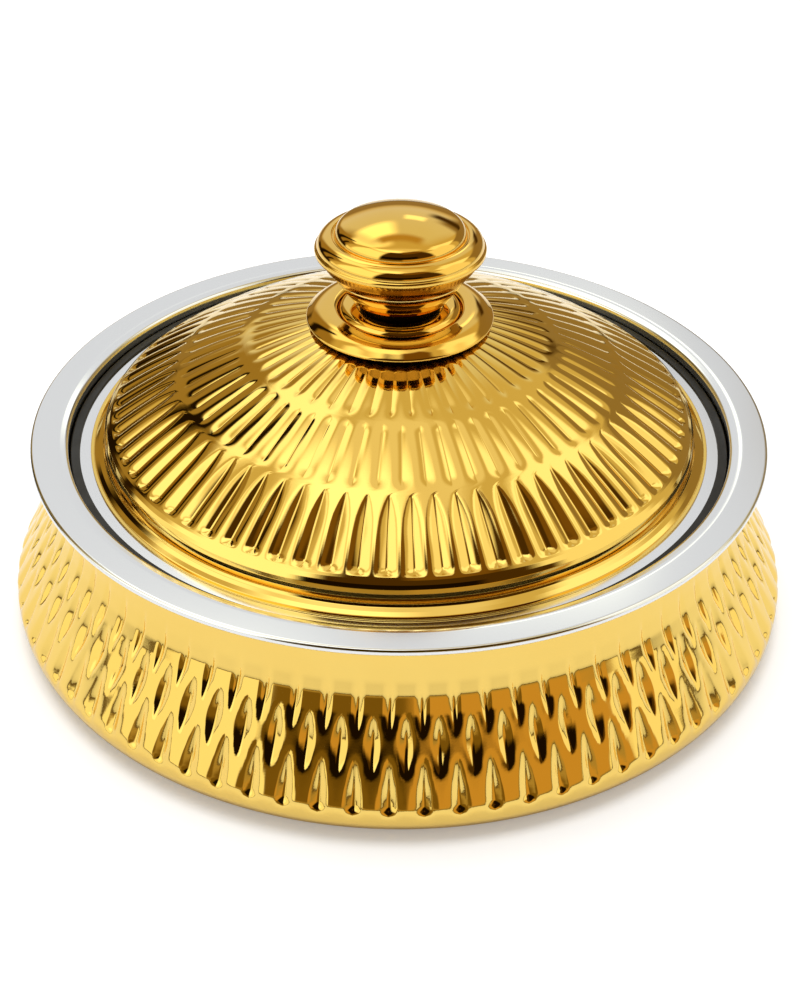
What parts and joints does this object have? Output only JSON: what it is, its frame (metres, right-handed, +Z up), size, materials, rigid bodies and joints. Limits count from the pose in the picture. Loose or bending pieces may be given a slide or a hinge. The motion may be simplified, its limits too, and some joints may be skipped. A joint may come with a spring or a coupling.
{
  "type": "insulated chapati casserole",
  "caption": "Round insulated serving casserole with a dented gold coloured casing, wide polished rim and lift-off domed lid with a mushroom knob.",
  "frame": {"origin": "the point on the table under the middle of the bowl", "axes": "+Z up along the centre line, which the lid lifts along; one foot lies on +X and one on +Y"},
  "size_m": [0.2718, 0.2718, 0.1417],
  "materials": {
    "gold_steel": "stainless steel with a polished gold coloured coating",
    "knob_gold": "polished, deeper gold coloured coating",
    "polished_steel": "polished stainless steel",
    "base_steel": "plain rolled stainless steel",
    "fastener_steel": "zinc plated steel",
    "foam": "rigid closed-cell polyurethane foam",
    "gasket_rubber": "black moulded silicone, satin",
    "foot_rubber": "matte moulded rubber",
    "plug_plastic": "black moulded polypropylene",
    "washer_nylon": "natural nylon"
  },
  "bodies": {
    "base": {"outer_shell": "gold_steel", "inner_bowl": "polished_steel", "body_insulation": "foam", "base_plate": "base_steel", "base_plug": "plug_plastic", "base_feet": "foot_rubber"},
    "lid": {"lid_shell": "gold_steel", "lid_liner": "polished_steel", "lid_gasket": "gasket_rubber", "lid_insulation": "foam", "lid_plug": "plug_plastic", "knob_seat_washer": "washer_nylon", "knob_collar": "knob_gold", "knob_bead": "knob_gold", "knob_stem": "knob_gold", "knob_cap_base": "knob_gold", "knob_cap": "knob_gold", "knob_boss": "fastener_steel", "knob_backing_washer": "fastener_steel", "knob_spring_washer": "fastener_steel", "knob_screw": "fastener_steel"}
  },
  "joints": [
    {"name": "lid_lift", "type": "slide", "parent": "base", "child": "lid", "axis": [0, 0, 1], "range_m": [0, 0.12]}
  ]
}
